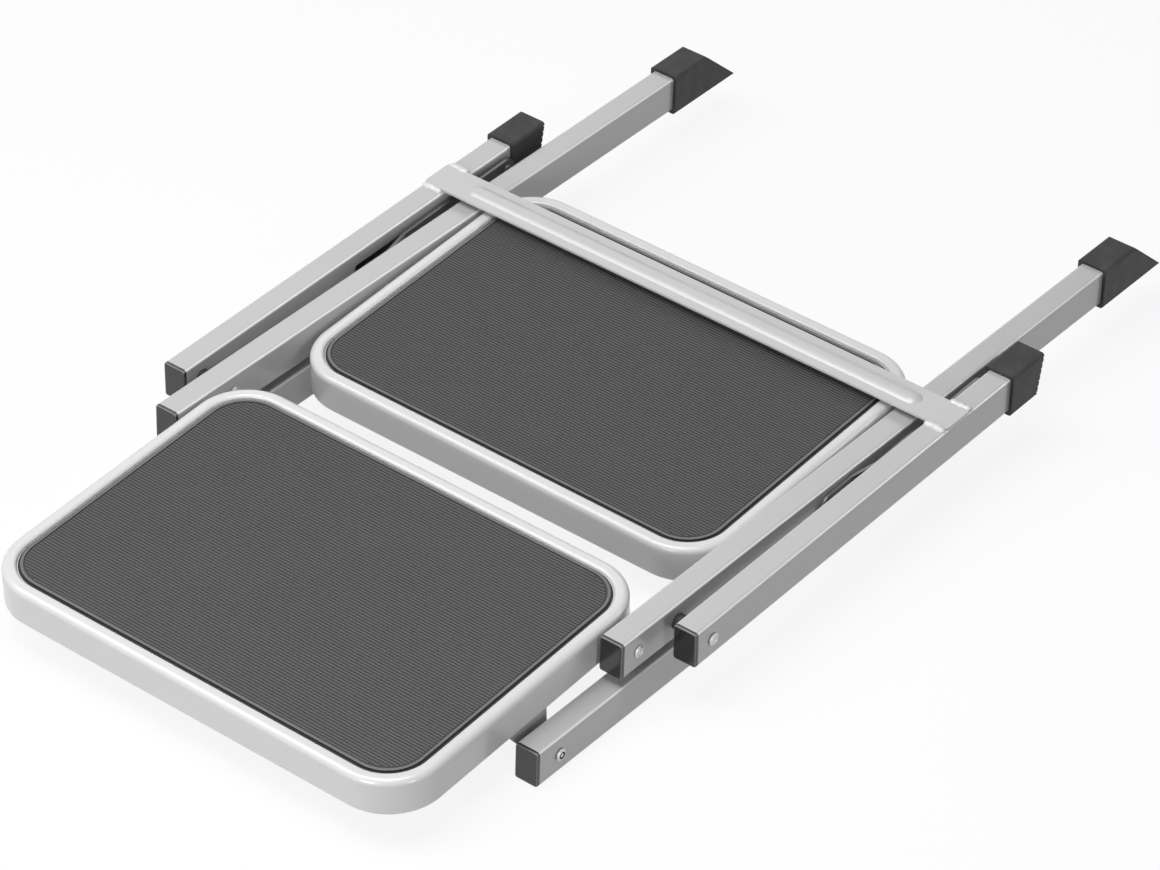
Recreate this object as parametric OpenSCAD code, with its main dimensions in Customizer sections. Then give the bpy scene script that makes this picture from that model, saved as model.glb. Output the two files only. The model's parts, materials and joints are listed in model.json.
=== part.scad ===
// Two-step folding stool, folded and lying on its link tubes with the treads up.
// X runs across the stool, Y along the legs towards the feet, and Z up.
// Every shape is drawn from the top end of the front legs, with z = 0 on their
// upper face, and is moved to the middle of the floor at the end.

/* [Tubes] */
// Width of every tube, across the stool
tube_w = 20; // [16:1:24]
// Depth of every tube, at right angles to its length
tube_h = 30; // [26:1:36]
// Wall of the tubes
tube_wall = 1.5; // [1:0.1:1.8]
// Outer corner radius of the tubes
tube_corner = 2.5; // [2:0.1:4]

/* [Open stance] */
// Angle of the front legs to the floor when the stool stands open
front_angle = 41.4; // [39:0.1:46]
// Angle of the rear legs to the floor when the stool stands open
rear_angle = 79; // [76:0.1:81]
// Folded tilt of both steps against the front legs
step_tilt = 3.1; // [1:0.1:4]
// Folded tilt of the rear legs against the front legs
rear_tilt = 1.2; // [0.5:0.1:1.6]

/* [Legs] */
// Front leg from its top end to the middle of the sole
front_reach = 649; // [620:1:700]
// Top step pivot, from the top end of the front leg
step_pivot_y = 16; // [15:0.5:18]
// Distance between the two step pivots along the front leg
step_spacing = 330.5; // [322:0.5:345]
// Rear leg pivot, from the top end of the front leg
rear_pivot_y = 60; // [52:1:64]
// Rear leg from its top end to its pivot
rear_head = 16.5; // [15:0.5:20]
// Clear gap between a front leg and the rear leg beside it
leg_gap = 11; // [10:0.5:14]

/* [Steps] */
// Width of a step over its skirt
step_w = 387; // [320:1:420]
// Depth of a step over its skirt
step_d = 279.5; // [262:0.5:290]
// Height of a step's skirt, from the top of the rim
skirt_h = 29; // [27:0.5:34]
// Corner radius of a step
step_corner = 43.5; // [30:0.5:60]
// Sheet thickness of a step
sheet_t = 1.5; // [1:0.1:2]
// Outer radius of the rolled rim
rim_outer_r = 5; // [4:0.5:6]
// Flat top of the rolled rim
rim_flat = 2.9; // [1:0.1:4]
// Depth of the recess that holds the mat, also the rim's inner radius
recess_depth = 3; // [2.5:0.5:4]
// Step pivot, from the rear edge of the skirt
pivot_inset = 48.2; // [46:0.1:55]
// Step pivot, below the top of the rim
pivot_drop = 16; // [15:0.5:17]
// Gap between a step's skirt and the tube beside it
side_gap = 3; // [2.6:0.1:6]

/* [Mats] */
// Thickness of a rubber mat under its ribs
mat_t = 1.5; // [1.2:0.1:2.2]
// Height of a mat's border and ribs over its ground
rib_h = 0.5; // [0.3:0.1:0.8]
// Width of a mat's smooth raised border
mat_border = 3.5; // [3:0.5:6]
// Groove between a mat and the rim around it
mat_groove = 0.8; // [0.5:0.1:1.5]

/* [Links] */
// Link pivot behind the step pivot, along the folded leg
link_back = 85.5; // [82:0.5:90]
// Link pivot below the step pivot, folded
link_drop = 38; // [37:0.5:40]
// Link tube beyond each of its pivots
link_head = 22; // [18:1:26]
// Thickness of the bracket inside each step's skirt
bracket_t = 2.5; // [2:0.1:4]
// Radius of the bracket round its pivots
bracket_r = 11; // [9:0.5:14]

/* [Crossbar] */
// Width of the crossbar strip
bar_w = 30; // [24:1:40]
// Thickness of the crossbar strip
bar_t = 2; // [1.5:0.1:3]
// Far edge of the crossbar, from the mouths of the rear feet
bar_to_foot = 50.7; // [44:0.1:68]
// Width of the raised rib along the crossbar
bar_rib_w = 15; // [8:0.5:16]
// Height of the raised rib along the crossbar
bar_rib_h = 3; // [2:0.5:4]
// Clear length at each end of the crossbar, outside its rib
bar_rib_inset = 34; // [28:1:60]
// Radius of the crossbar's corners
bar_corner = 3; // [1:0.5:4]
// Radius of the weld beads on the crossbar
weld_r = 1.8; // [1.2:0.1:2]
// Length of a weld bead
weld_len = 14; // [10:1:16]

/* [Stays] */
// Folded slider of a stay, from the mouth of the rear foot
slider_to_foot = 10.2; // [9:0.1:24]
// Width of a stay
stay_w = 19; // [16:0.5:22]
// Thickness of a stay
stay_t = 2.5; // [2:0.1:2.6]
// Sideways step in a stay, which clears the lower step's rivet
stay_joggle = 5.4; // [5:0.1:5.6]
// Straight length of a stay before its sideways step
stay_root = 26; // [22:1:34]
// Length of the sideways step in a stay
stay_bend = 26; // [20:1:40]
// Width of the slot in the rear leg's inner wall
slot_w = 7; // [6.6:0.1:9]
// Radius of the slider inside the rear leg
slider_r = 6; // [5:0.5:8]
// Length of the slider inside the rear leg
slider_len = 6; // [4:0.5:10]

/* [Rivets and spacers] */
// Radius of a rivet's shank
rivet_r = 3; // [2.5:0.1:3.2]
// Radius of a rivet's head
rivet_head_r = 4.6; // [4.2:0.1:6]
// Height of a rivet's head
rivet_head_h = 1.8; // [1.2:0.1:2]
// Outer radius of a nylon spacer
spacer_r = 6.3; // [5.5:0.1:9]

/* [Caps and feet] */
// Thickness of a cap's flange
cap_flange = 3; // [2:0.5:4]
// Rounding of a cap's outer edge
cap_round = 1.6; // [1:0.1:1.9]
// Length of a cap's plug inside the tube
cap_plug = 9; // [6:0.5:11]
// Wall of a foot around its tube
foot_wall = 2.8; // [1.6:0.1:3.2]
// Outer corner radius of the feet
foot_corner = 2.5; // [2:0.1:4]
// Rubber under the tube's end, at its thinnest
foot_sole = 5; // [4:0.5:8]
// Length of a front foot, from its mouth to the nearest edge of its sole
front_foot_len = 40; // [34:1:60]
// Length of a rear foot, from its mouth to the nearest edge of its sole
rear_foot_len = 33; // [28:1:33]
// Distance between the grooves across a sole
sole_pitch = 5; // [4:0.5:7]
// Depth of the grooves across a sole
sole_groove = 1.2; // [0.8:0.1:2]

/* [Hidden] */

$fn = 64;
// Overrun of every cut past the face that it opens
over = 1;
// Clearance round a shank in a hole
bore_gap = 0.06;
// Clearance round a shank where a closed linkage is opened
open_gap = 0.3;
// Gap between faces that turn past each other
run_gap = 0.3;
// Clearance of a plug or a foot round a tube
fit_gap = 0.15;
// Pits that the rivet tool leaves in the link rivets
pit_r = 0.8;
pit_depth = 0.7;

paint = [0.76, 0.76, 0.77];
black = [0.16, 0.16, 0.17];
steel = [0.80, 0.81, 0.82];
nylon = [0.22, 0.22, 0.23];

// The lug of a step's bracket, ahead of and behind the link's pivot, and how far
// its front edge slopes back under the skirt
lug_ahead = 26;
lug_behind = 16;
lug_slope = 23;
lug_chamfer = 5;

// Levels across the stool
skirt_x = step_w / 2;
front_x = skirt_x + side_gap;
front_out_x = front_x + tube_w;
rear_x = front_out_x + leg_gap;
rear_out_x = rear_x + tube_w;
bracket_x = skirt_x - sheet_t;
stay_x = front_out_x + run_gap;

// Places along and above the front legs
mid_z = -tube_h / 2;
lower_pivot_y = step_pivot_y + step_spacing;
link_z = mid_z - link_drop;
top_link_y = step_pivot_y - link_back;
lower_link_y = lower_pivot_y - link_back;
link_len = step_spacing + 2 * link_head;

// The rear leg reaches the floor that the front leg stands on
rear_reach = (front_reach - rear_pivot_y) * sin(front_angle) / sin(rear_angle);
open_angle = 180 - front_angle - rear_angle;

// Where each leg tube ends and where its foot begins
foot_half_h = tube_h / 2 + foot_wall;
sole_grooves = floor(tube_h / sole_pitch);
front_tube_end = front_reach - tube_h / 2 / tan(front_angle) - foot_sole / sin(front_angle);
rear_tube_end = rear_reach - tube_h / 2 / tan(rear_angle) - foot_sole / sin(rear_angle);
front_mouth = front_reach - foot_half_h / tan(front_angle) - front_foot_len;
rear_mouth = rear_reach - foot_half_h / tan(rear_angle) - rear_foot_len;

// A stay is as long as its pivot is far from the rear leg's pivot, so its slider
// keeps to the rear leg's middle line. The crossbar's near edge, on the rear leg
slot_far = rear_mouth - slider_to_foot;
stay_len = slot_far / (2 * cos(rear_tilt));
slot_near = 2 * stay_len * cos(open_angle);
stay_pivot_y = rear_pivot_y + stay_len;
bar_from_pivot = rear_mouth - bar_to_foot - bar_w;

// The link's pivot in a step's own tilted frame
link_y = -link_back * cos(step_tilt) - link_drop * sin(step_tilt);
link_h = link_back * sin(step_tilt) - link_drop * cos(step_tilt);

// Width of the rolled rim, and the crossbar's end and rib
rim_w = rim_outer_r + rim_flat + recess_depth;
bar_end_x = rear_out_x - run_gap;
bar_rib_r = (bar_rib_w * bar_rib_w / 4 + bar_rib_h * bar_rib_h) / (2 * bar_rib_h);

// Middle of the whole stool's length, and the floor under the link tubes
step_front = step_d - pivot_inset;
near_y = step_pivot_y - (step_front - rim_outer_r) * cos(step_tilt)
         - (pivot_drop - rim_outer_r) * sin(step_tilt) - rim_outer_r;
far_y = front_reach + foot_half_h / tan(front_angle);
middle_y = (near_y + far_y) / 2;
floor_z = link_z - tube_h / 2;

module on_floor() {
    translate([0, -middle_y, -floor_z]) children();
}

module to_left() {
    mirror([1, 0, 0]) children();
}

module both_sides() {
    children();
    to_left() children();
}

module rounded_rect(w, h, r) {
    square([w - 2 * r, h], center = true);
    square([w, h - 2 * r], center = true);
    for (x = [-1, 1], y = [-1, 1])
        translate([x * (w / 2 - r), y * (h / 2 - r)]) circle(r);
}

// Sweeps a profile round a rounded rectangle. In the profile, x is the distance
// in from the outline and y is the height.
module edge_sweep(w, h, r) {
    for (turn = [0, 180]) rotate([0, 0, turn]) {
        translate([w / 2, -h / 2 + r, 0]) rotate([90, 0, 180])
            linear_extrude(h - 2 * r) children();
        translate([w / 2 - r, h / 2, 0]) rotate([90, 0, -90])
            linear_extrude(w - 2 * r) children();
        for (corner = [[w / 2 - r, h / 2 - r, 0], [-w / 2 + r, h / 2 - r, 90]])
            translate([corner[0], corner[1], 0]) rotate([0, 0, corner[2]])
                rotate_extrude(angle = 90) translate([r, 0]) mirror([1, 0]) children();
    }
}

// A rod across the stool, from x0 to x1
module rod(r, x0, x1) {
    translate([x0, 0, 0]) rotate([0, 90, 0]) cylinder(h = x1 - x0, r = r);
}

// The places that the parts are drawn in, each with its own pivot at the origin
module at_front(y) {
    translate([0, y, mid_z]) children();
}

module at_rear() {
    translate([0, rear_pivot_y, mid_z]) rotate([rear_tilt, 0, 0]) children();
}

module at_step(y) {
    translate([0, y, mid_z]) rotate([step_tilt, 0, 0]) children();
}

module at_link(y) {
    translate([0, y, link_z]) children();
}

module at_stay() {
    translate([0, stay_pivot_y, mid_z]) rotate([2 * rear_tilt, 0, 0]) children();
}

// A tube along Y from y0 to y1, with its inner face at x
module tube(x, y0, y1) {
    translate([x + tube_w / 2, y1, 0]) rotate([90, 0, 0]) linear_extrude(y1 - y0)
        difference() {
            rounded_rect(tube_w, tube_h, tube_corner);
            rounded_rect(tube_w - 2 * tube_wall, tube_h - 2 * tube_wall, tube_corner - tube_wall);
        }
}

// A black plug cap on a tube's end at y, its flange towards side = -1 or 1
module cap(x, y, side) {
    translate([x + tube_w / 2, y, 0]) rotate([-90 * side, 0, 0]) {
        translate([0, 0, -cap_plug]) linear_extrude(cap_plug)
            rounded_rect(tube_w - 2 * (tube_wall + fit_gap), tube_h - 2 * (tube_wall + fit_gap),
                         tube_corner - tube_wall);
        linear_extrude(cap_flange - cap_round) rounded_rect(tube_w, tube_h, tube_corner);
        linear_extrude(cap_flange)
            rounded_rect(tube_w - 2 * cap_round, tube_h - 2 * cap_round, tube_corner - cap_round);
        translate([0, 0, cap_flange - cap_round]) edge_sweep(tube_w, tube_h, tube_corner)
            intersection() {
                translate([cap_round, 0]) circle(cap_round);
                square(cap_round);
            }
    }
}

// The frame of a sole: its origin on the leg's centre line, +Z out of the sole.
// A lean of 1 puts the toe below the leg as it lies folded, -1 above it.
module at_sole(reach, angle, lean) {
    translate([0, reach, 0]) rotate([lean > 0 ? -angle : angle - 180, 0, 0]) children();
}

// A rubber foot on the tube whose inner face is at x, from its mouth to its sole
module foot(x, mouth, tube_end, reach, angle, lean) {
    translate([x + tube_w / 2, 0, 0]) difference() {
        translate([0, mouth, 0]) rotate([-90, 0, 0]) linear_extrude(reach - mouth + 2 * tube_h)
            rounded_rect(tube_w + 2 * foot_wall, tube_h + 2 * foot_wall, foot_corner);
        translate([0, mouth - over, 0]) rotate([-90, 0, 0]) linear_extrude(tube_end - mouth + over)
            rounded_rect(tube_w + 2 * fit_gap, tube_h + 2 * fit_gap, tube_corner + fit_gap);
        at_sole(reach, angle, lean) {
            translate([-tube_w, -4 * tube_h, 0]) cube([2 * tube_w, 8 * tube_h, 4 * tube_h]);
            for (i = [-sole_grooves : sole_grooves])
                translate([-tube_w, i * sole_pitch - sole_groove / 2, -sole_groove])
                    cube([2 * tube_w, sole_groove, sole_groove + over]);
        }
    }
}

// A domed rivet head on the face at x, standing out towards side = -1 or 1
module rivet_head(x, side) {
    dome_r = (rivet_head_r * rivet_head_r + rivet_head_h * rivet_head_h) / (2 * rivet_head_h);
    translate([x, 0, 0]) rotate([0, 90 * side, 0]) intersection() {
        translate([0, 0, rivet_head_h - dome_r]) sphere(dome_r);
        cylinder(h = rivet_head_h, r = rivet_head_r);
    }
}

// A rivet with one head on the face at x0 and the other on the face at x1
module rivet(x0, x1) {
    rod(rivet_r, x0 - rivet_head_h / 2, x1 + rivet_head_h / 2);
    rivet_head(x0, -1);
    rivet_head(x1, 1);
}

// A nylon spacer ring between x0 and x1
module spacer(x0, x1) {
    difference() {
        rod(spacer_r, x0, x1);
        rod(rivet_r + bore_gap, x0 - over, x1 + over);
    }
}

// Front legs
module front_leg_right() {
    color(paint) difference() {
        translate([0, 0, mid_z]) tube(front_x, 0, front_tube_end);
        for (y = [step_pivot_y, rear_pivot_y, stay_pivot_y, lower_pivot_y])
            at_front(y) rod(rivet_r + bore_gap, front_x - over, front_out_x + over);
    }
}

module front_cap_right() {
    color(black) at_front(0) cap(front_x, 0, -1);
}

module front_foot_right() {
    color(black) translate([0, 0, mid_z])
        foot(front_x, front_mouth, front_tube_end, front_reach, front_angle, 1);
}

// Rear legs, whose inner walls are slotted for the stays
module rear_leg_right() {
    color(paint) at_rear() difference() {
        tube(rear_x, -rear_head, rear_tube_end);
        rod(rivet_r + bore_gap, rear_x - over, rear_out_x + over);
        for (y = [slot_near, slot_far])
            translate([0, y, 0]) rod(slot_w / 2, rear_x - over, rear_x + tube_w / 2);
        translate([rear_x - over, slot_near, -slot_w / 2])
            cube([tube_w / 2 + over, slot_far - slot_near, slot_w]);
    }
}

module rear_cap_right() {
    color(black) at_rear() cap(rear_x, -rear_head, -1);
}

module rear_foot_right() {
    color(black) at_rear() foot(rear_x, rear_mouth, rear_tube_end, rear_reach, rear_angle, -1);
}

// The stamped strip across the rear legs, with a rib that is hollow underneath
module rear_crossbar() {
    color(paint) at_rear() translate([0, bar_from_pivot + bar_w / 2, tube_h / 2]) difference() {
        union() {
            linear_extrude(bar_t) rounded_rect(2 * bar_end_x, bar_w, bar_corner);
            bar_rib(bar_rib_r, bar_t);
        }
        bar_rib(bar_rib_r - bar_t, 0);
    }
}

// The part of a long round-ended bar of radius r that stands above height z
module bar_rib(r, z) {
    reach = bar_end_x - bar_rib_inset - bar_rib_w / 2;
    intersection() {
        translate([0, 0, bar_t + bar_rib_h - bar_rib_r]) {
            rod(r, -reach, reach);
            for (x = [-reach, reach]) translate([x, 0, 0]) sphere(r);
        }
        translate([-bar_end_x, -bar_w / 2, z - (z > 0 ? bar_t / 2 : over)])
            cube([2 * bar_end_x, bar_w, bar_rib_r]);
    }
}

module crossbar_welds() {
    color(paint) both_sides() at_rear() difference() {
        for (y = [bar_from_pivot, bar_from_pivot + bar_w])
            translate([rear_x + tube_w / 2, y, tube_h / 2]) weld_bead();
        tube_block();
        translate([rear_x - over, bar_from_pivot, tube_h / 2 - over])
            cube([tube_w + 2 * over, bar_w, bar_t + over + weld_r]);
    }
}

module weld_bead() {
    rod(weld_r, weld_r - weld_len / 2, weld_len / 2 - weld_r);
    for (x = [weld_r - weld_len / 2, weld_len / 2 - weld_r]) translate([x, 0, 0]) sphere(weld_r);
}

// What a rear leg fills under the crossbar
module tube_block() {
    translate([rear_x - over, bar_from_pivot - bar_w, -tube_h / 2])
        cube([tube_w + 2 * over, 3 * bar_w, tube_h]);
}

// Links, which join the two steps below the folded front legs
module link_tube_right() {
    color(paint) difference() {
        at_link(0) tube(front_x, top_link_y - link_head, lower_link_y + link_head);
        at_link(top_link_y) rod(rivet_r + open_gap, front_x - over, front_out_x + over);
        at_link(lower_link_y) rod(rivet_r + bore_gap, front_x - over, front_out_x + over);
    }
}

module link_top_cap_right() {
    color(black) at_link(0) cap(front_x, top_link_y - link_head, -1);
}

module link_foot_cap_right() {
    color(black) at_link(0) cap(front_x, lower_link_y + link_head, 1);
}

// The sheet round a step, from its skirt over the rolled rim to the recess
module rim_profile() {
    difference() {
        union() {
            translate([0, -skirt_h]) square([rim_w, skirt_h - rim_outer_r]);
            translate([rim_outer_r, -skirt_h]) square([rim_w - rim_outer_r, skirt_h - recess_depth]);
            translate([rim_outer_r, -rim_outer_r]) square([rim_flat, rim_outer_r]);
            translate([rim_outer_r, -rim_outer_r]) circle(rim_outer_r);
            translate([rim_outer_r + rim_flat, -recess_depth]) circle(recess_depth);
            translate([rim_w - sheet_t, -recess_depth - sheet_t]) square([2 * sheet_t, sheet_t]);
        }
        translate([sheet_t, -skirt_h - over]) square([rim_w, skirt_h + over - rim_outer_r]);
        translate([rim_outer_r, -skirt_h - over])
            square([rim_w - sheet_t - rim_outer_r, skirt_h + over - recess_depth]);
        translate([rim_outer_r, -skirt_h - over])
            square([2 * rim_w, skirt_h + over - recess_depth - sheet_t]);
        translate([rim_outer_r, -rim_outer_r]) square([rim_flat, rim_outer_r - sheet_t]);
        translate([rim_outer_r, -rim_outer_r]) circle(rim_outer_r - sheet_t);
        translate([rim_outer_r + rim_flat, -recess_depth]) circle(recess_depth - sheet_t);
    }
}

module tray() {
    plate_in = rim_w + sheet_t;
    difference() {
        translate([0, pivot_inset - step_d / 2, pivot_drop]) {
            edge_sweep(step_w, step_d, step_corner) rim_profile();
            translate([0, 0, -recess_depth - sheet_t]) linear_extrude(sheet_t)
                rounded_rect(step_w - 2 * plate_in, step_d - 2 * plate_in, step_corner - plate_in);
        }
        both_sides() rod(rivet_r + bore_gap, skirt_x - sheet_t - over, skirt_x + over);
    }
}

module mat() {
    inset = rim_w + mat_groove;
    border = inset + mat_border;
    translate([0, pivot_inset - step_d / 2, pivot_drop - recess_depth]) difference() {
        linear_extrude(mat_t + rib_h)
            rounded_rect(step_w - 2 * inset, step_d - 2 * inset, step_corner - inset);
        translate([0, 0, mat_t]) linear_extrude(rib_h + over)
            rounded_rect(step_w - 2 * border, step_d - 2 * border, step_corner - border);
    }
}

// The bracket inside a step's skirt: a plate round the step's pivot, trimmed to the
// skirt's corner, and a lug that reaches down past the skirt to the link's pivot
module bracket() {
    top = pivot_drop - recess_depth - sheet_t - fit_gap;
    bottom = link_h - bracket_r;
    near = link_y - lug_ahead;
    far = link_y + lug_behind;
    difference() {
        intersection() {
            translate([bracket_x - bracket_t, 0, 0]) rotate([90, 0, 90]) linear_extrude(bracket_t)
                polygon([[near, top], [near, pivot_drop - skirt_h], [near + lug_slope, bottom],
                         [far - lug_chamfer, bottom], [far, bottom + lug_chamfer],
                         [far, -bracket_r], [bracket_r, -bracket_r], [bracket_r, top]]);
            translate([0, pivot_inset - step_d / 2, bottom - over]) linear_extrude(top - bottom + 2 * over)
                rounded_rect(step_w - 2 * sheet_t, step_d - 2 * sheet_t, step_corner + sheet_t);
        }
        for (p = [[0, 0], [link_y, link_h]])
            translate([0, p[0], p[1]]) rod(rivet_r + bore_gap, bracket_x - bracket_t - over, bracket_x + over);
    }
}

// A rivet that joins a step's bracket to its link, with the riveting tool's pits in its head
module link_rivet() {
    translate([0, link_y, link_h]) difference() {
        rivet(bracket_x - bracket_t, front_out_x + run_gap);
        for (side = [-1, 1])
            translate([front_out_x + run_gap + rivet_head_h - pit_depth, 0, side * rivet_head_r / 2])
                rod(pit_r, 0, pit_depth + over);
    }
}

module link_spacer() {
    translate([0, link_y, link_h]) spacer(bracket_x, front_x - run_gap);
}

module step_rivet() {
    rivet(bracket_x - bracket_t - run_gap, front_out_x);
}

module step_spacer() {
    spacer(skirt_x + run_gap, front_x);
}

module top_step_tray() {
    color(paint) at_step(step_pivot_y) tray();
}

module lower_step_tray() {
    color(paint) at_step(lower_pivot_y) tray();
}

module top_step_mat() {
    color(black) at_step(step_pivot_y) mat();
}

module lower_step_mat() {
    color(black) at_step(lower_pivot_y) mat();
}

module top_bracket_right() {
    color(paint) at_step(step_pivot_y) bracket();
}

module lower_bracket_right() {
    color(paint) at_step(lower_pivot_y) bracket();
}

// A stay, pivoted on the front leg and stepped out to run beside the rear leg
module stay_right() {
    bend_y = stay_root + stay_bend;
    color(steel) at_stay() translate([stay_x, 0, 0]) difference() {
        intersection() {
            linear_extrude(stay_w, center = true)
                polygon([[0, -stay_w], [0, stay_root], [stay_joggle, bend_y],
                         [stay_joggle, stay_len + stay_w], [stay_joggle + stay_t, stay_len + stay_w],
                         [stay_joggle + stay_t, bend_y], [stay_t, stay_root], [stay_t, -stay_w]]);
            union() {
                for (y = [0, stay_len])
                    translate([0, y, 0]) rod(stay_w / 2, -over, stay_joggle + stay_t + over);
                translate([-over, 0, -stay_w / 2])
                    cube([stay_joggle + stay_t + 2 * over, stay_len, stay_w]);
            }
        }
        for (y = [0, stay_len])
            translate([0, y, 0]) rod(rivet_r + bore_gap, -over, stay_joggle + stay_t + over);
    }
}

// The headed stud at a stay's end and the slider that it carries inside the rear leg
module stay_slider_right() {
    near = stay_x + stay_joggle;
    inside = rear_x + tube_wall + run_gap;
    color(steel) at_stay() translate([0, stay_len, 0]) {
        rivet_head(near, -1);
        rod(rivet_r, near - rivet_head_h / 2, inside + slider_len);
        rod(rivet_head_r, near + stay_t, rear_x - run_gap);
        rod(slider_r, inside, inside + slider_len);
    }
}

// Rivets and spacers, in pairs
module top_step_rivets() {
    color(steel) both_sides() at_front(step_pivot_y) step_rivet();
}

module top_step_spacers() {
    color(nylon) both_sides() at_front(step_pivot_y) step_spacer();
}

module lower_step_rivets() {
    color(steel) both_sides() at_front(lower_pivot_y) step_rivet();
}

module lower_step_spacers() {
    color(nylon) both_sides() at_front(lower_pivot_y) step_spacer();
}

module rear_leg_rivets() {
    color(steel) both_sides() at_front(rear_pivot_y) rivet(front_x, rear_out_x + run_gap);
}

module rear_leg_spacers() {
    color(nylon) both_sides() at_front(rear_pivot_y) spacer(front_out_x, rear_x - run_gap);
}

module stay_rivets() {
    color(steel) both_sides() at_front(stay_pivot_y) rivet(front_x, stay_x + stay_t + run_gap);
}

module top_link_rivets() {
    color(steel) both_sides() at_step(step_pivot_y) link_rivet();
}

module top_link_spacers() {
    color(nylon) both_sides() at_step(step_pivot_y) link_spacer();
}

module lower_link_rivets() {
    color(steel) both_sides() at_step(lower_pivot_y) link_rivet();
}

module lower_link_spacers() {
    color(nylon) both_sides() at_step(lower_pivot_y) link_spacer();
}

// The left-hand pieces mirror the right-hand ones
module front_leg_left() {
    to_left() front_leg_right();
}

module front_cap_left() {
    to_left() front_cap_right();
}

module front_foot_left() {
    to_left() front_foot_right();
}

module rear_leg_left() {
    to_left() rear_leg_right();
}

module rear_cap_left() {
    to_left() rear_cap_right();
}

module rear_foot_left() {
    to_left() rear_foot_right();
}

module link_tube_left() {
    to_left() link_tube_right();
}

module link_top_cap_left() {
    to_left() link_top_cap_right();
}

module link_foot_cap_left() {
    to_left() link_foot_cap_right();
}

module top_bracket_left() {
    to_left() top_bracket_right();
}

module lower_bracket_left() {
    to_left() lower_bracket_right();
}

module stay_left() {
    to_left() stay_right();
}

module stay_slider_left() {
    to_left() stay_slider_right();
}

on_floor() front_leg_left();
on_floor() front_leg_right();
on_floor() front_cap_left();
on_floor() front_cap_right();
on_floor() front_foot_left();
on_floor() front_foot_right();
on_floor() rear_leg_left();
on_floor() rear_leg_right();
on_floor() rear_cap_left();
on_floor() rear_cap_right();
on_floor() rear_foot_left();
on_floor() rear_foot_right();
on_floor() rear_crossbar();
on_floor() crossbar_welds();
on_floor() link_tube_left();
on_floor() link_tube_right();
on_floor() link_top_cap_left();
on_floor() link_top_cap_right();
on_floor() link_foot_cap_left();
on_floor() link_foot_cap_right();
on_floor() top_step_tray();
on_floor() top_step_mat();
on_floor() top_bracket_left();
on_floor() top_bracket_right();
on_floor() lower_step_tray();
on_floor() lower_step_mat();
on_floor() lower_bracket_left();
on_floor() lower_bracket_right();
on_floor() stay_left();
on_floor() stay_right();
on_floor() stay_slider_left();
on_floor() stay_slider_right();
on_floor() top_step_rivets();
on_floor() top_step_spacers();
on_floor() lower_step_rivets();
on_floor() lower_step_spacers();
on_floor() rear_leg_rivets();
on_floor() rear_leg_spacers();
on_floor() stay_rivets();
on_floor() top_link_rivets();
on_floor() top_link_spacers();
on_floor() lower_link_rivets();
on_floor() lower_link_spacers();
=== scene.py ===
# %% [markdown]
# # A folding step stool in painted steel tube
#
# The stool lies folded flat with its treads up. This script gives every piece its
# real surface. It also makes the ribbed rubber mats, the weld beads and the rivets
# again, as fuller shapes than the CAD's.

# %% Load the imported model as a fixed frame
import json
import math
import random

import bmesh
import bpy
from mathutils import Matrix, Vector


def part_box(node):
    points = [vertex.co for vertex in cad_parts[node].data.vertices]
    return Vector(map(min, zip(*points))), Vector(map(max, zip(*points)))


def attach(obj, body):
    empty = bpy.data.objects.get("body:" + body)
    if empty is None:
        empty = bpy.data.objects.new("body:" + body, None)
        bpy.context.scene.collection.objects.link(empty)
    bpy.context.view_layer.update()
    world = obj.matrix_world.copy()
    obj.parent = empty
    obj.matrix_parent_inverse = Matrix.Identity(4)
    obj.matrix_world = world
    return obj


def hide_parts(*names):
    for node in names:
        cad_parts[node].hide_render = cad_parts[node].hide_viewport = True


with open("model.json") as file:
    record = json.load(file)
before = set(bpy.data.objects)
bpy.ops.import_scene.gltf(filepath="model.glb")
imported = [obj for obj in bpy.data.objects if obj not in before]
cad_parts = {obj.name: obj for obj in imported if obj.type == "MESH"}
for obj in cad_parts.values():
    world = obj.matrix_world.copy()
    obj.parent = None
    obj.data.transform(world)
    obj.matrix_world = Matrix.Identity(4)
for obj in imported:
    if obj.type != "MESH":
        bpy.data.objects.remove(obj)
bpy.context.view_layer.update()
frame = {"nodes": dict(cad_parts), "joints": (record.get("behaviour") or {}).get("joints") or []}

MM = 0.001

# %% [markdown]
# The photograph was taken with a long lens from the front right, above the stool.
# The camera's place, turn and lens come from fitting the edges of the tubes and
# steps to the picture. A long lens keeps the far feet nearly as large as the near
# caps, so the distance matters more here than on a close shot.

# %% Camera, its lens and place in millimetres and its turn in degrees
SENSOR_WIDTH = 36.0
LENS = 161.57
CAMERA_PLACE = (1880.2, -2459.6, 2327.4)
CAMERA_TURN = (53.224, -1.478, 38.528)
CLIP_END_M = 50.0

camera_data = bpy.data.cameras.new("photo_camera")
camera_data.sensor_width = SENSOR_WIDTH
camera_data.lens = LENS
camera_data.clip_end = CLIP_END_M
camera = bpy.data.objects.new("photo_camera", camera_data)
bpy.context.scene.collection.objects.link(camera)
camera.location = Vector(CAMERA_PLACE) * MM
camera.rotation_euler = [math.radians(angle) for angle in CAMERA_TURN]
bpy.context.scene.camera = camera
bpy.context.scene.view_settings.view_transform = "Standard"
print("camera distance in m:", round(camera.location.length, 2))

# %% [markdown]
# Colours are written as the sRGB hex values that a paint program shows. Blender's
# shaders work in linear light, so one function turns them. Another adds a node with
# its settings and its links in one call, which keeps each material short. Patterns
# are given by the real size of their features, which a third turns into a scale.

# %% Colour and node helpers
def linear(hex_colour):
    """An sRGB hex value as four linear channels."""
    channels = [int(hex_colour[i:i + 2], 16) / 255 for i in (1, 3, 5)]
    return [c / 12.92 if c <= 0.04045 else ((c + 0.055) / 1.055) ** 2.4 for c in channels] + [1.0]


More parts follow.
